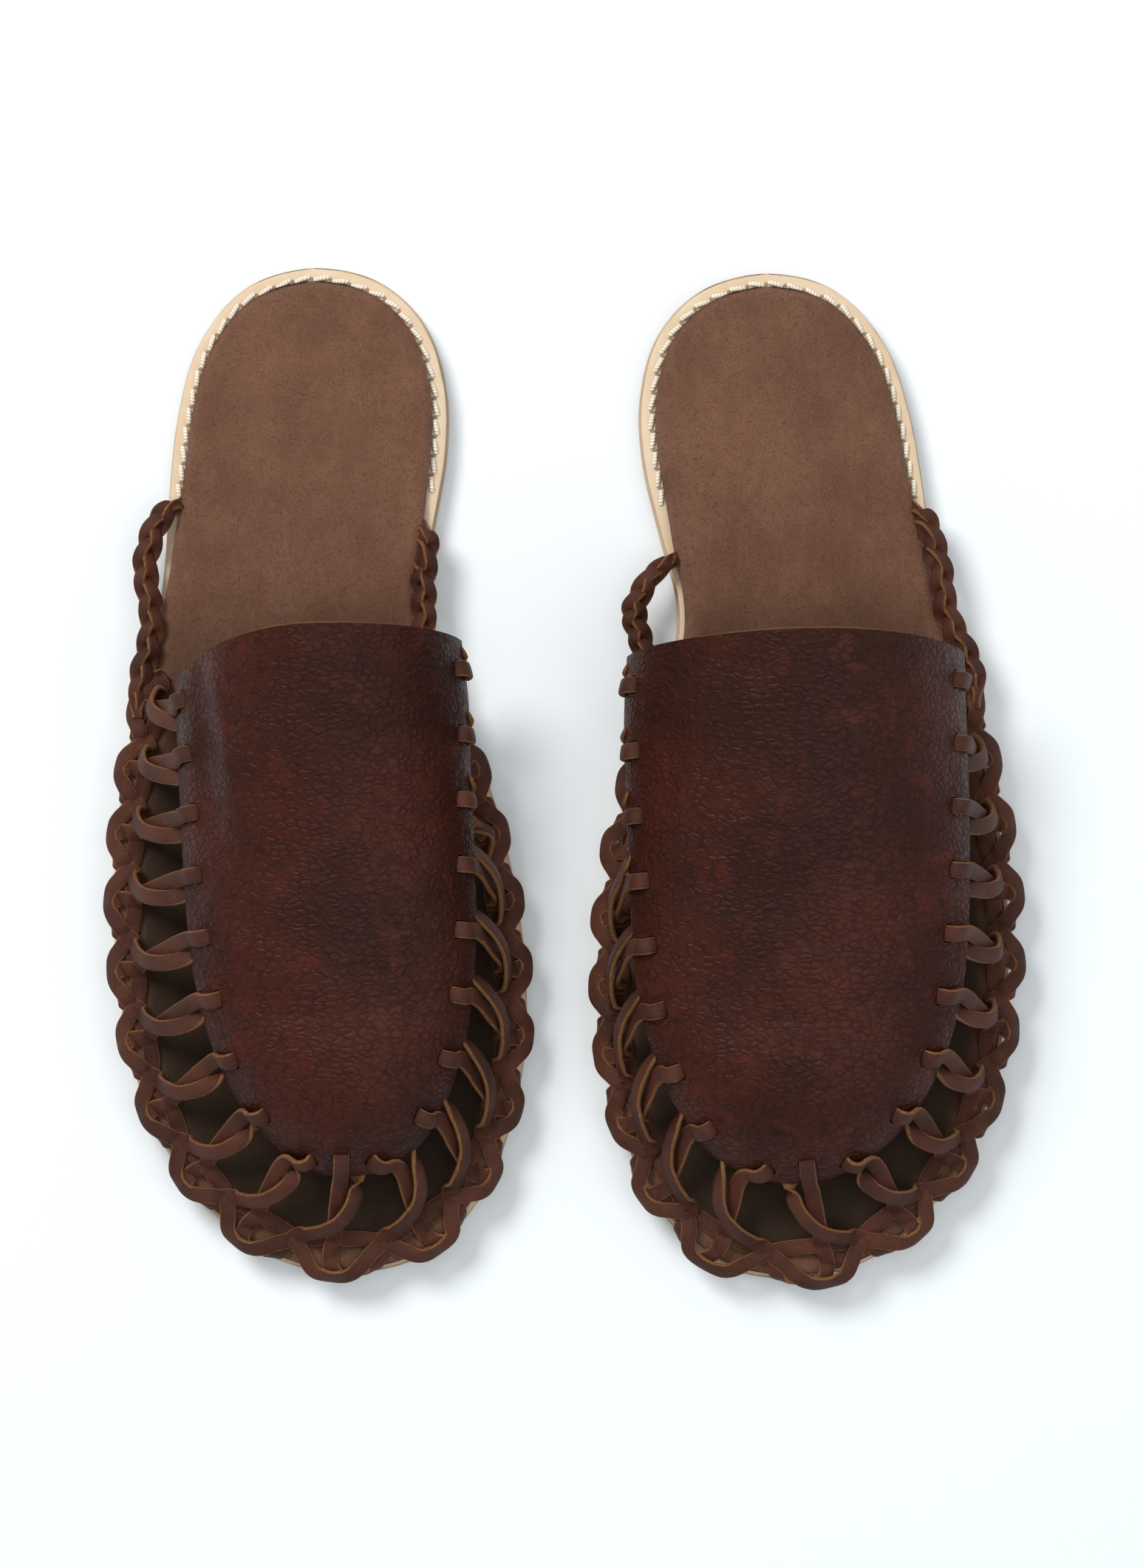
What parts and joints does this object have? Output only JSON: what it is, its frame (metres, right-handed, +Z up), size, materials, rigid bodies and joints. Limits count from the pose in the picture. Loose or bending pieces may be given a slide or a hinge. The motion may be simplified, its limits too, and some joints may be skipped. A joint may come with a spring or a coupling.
{
  "type": "pair of laced leather mules",
  "caption": "Pair of handmade closed-toe leather mules: flat leather soles with suede footbeds, and dark vamps laced to the sole's edge with woven leather straps.",
  "frame": {"origin": "centre of the pair's bounding box at ground level, under both soles", "axes": "+Z up, +Y towards the heels, -Y towards the toes, +X from the right shoe to the left shoe"},
  "size_m": [0.247, 0.2762, 0.0752],
  "materials": {
    "outsole_leather": "smooth veg-tanned outsole leather, slightly darker than the midsole",
    "midsole_leather": "pale natural veg-tanned leather with a raw cut edge",
    "insole_board": "plain leatherboard",
    "footbed_suede": "brown suede with a short nap",
    "vamp_leather": "dark red-brown pebbled leather with a soft sheen",
    "lace_leather": "brown strap leather with a lighter tan flesh side and cut edges",
    "seam_thread": "cream waxed sewing thread"
  },
  "bodies": {
    "right_shoe": {"right_outsole": "outsole_leather", "right_midsole": "midsole_leather", "right_insole_board": "insole_board", "right_footbed": "footbed_suede", "right_seam_top_thread": "seam_thread", "right_seam_lower_thread": "seam_thread", "right_vamp": "vamp_leather", "right_vamp_lace": "lace_leather", "right_chain_lace_outer": "lace_leather", "right_chain_lace_inner": "lace_leather"},
    "left_shoe": {"left_outsole": "outsole_leather", "left_midsole": "midsole_leather", "left_insole_board": "insole_board", "left_footbed": "footbed_suede", "left_seam_top_thread": "seam_thread", "left_seam_lower_thread": "seam_thread", "left_vamp": "vamp_leather", "left_vamp_lace": "lace_leather", "left_chain_lace_outer": "lace_leather", "left_chain_lace_inner": "lace_leather"}
  },
  "joints": [
    {"name": "left_shoe_set_apart", "type": "slide", "parent": "right_shoe", "child": "left_shoe", "axis": [1, 0, 0], "range_m": [0, 0.12]}
  ]
}
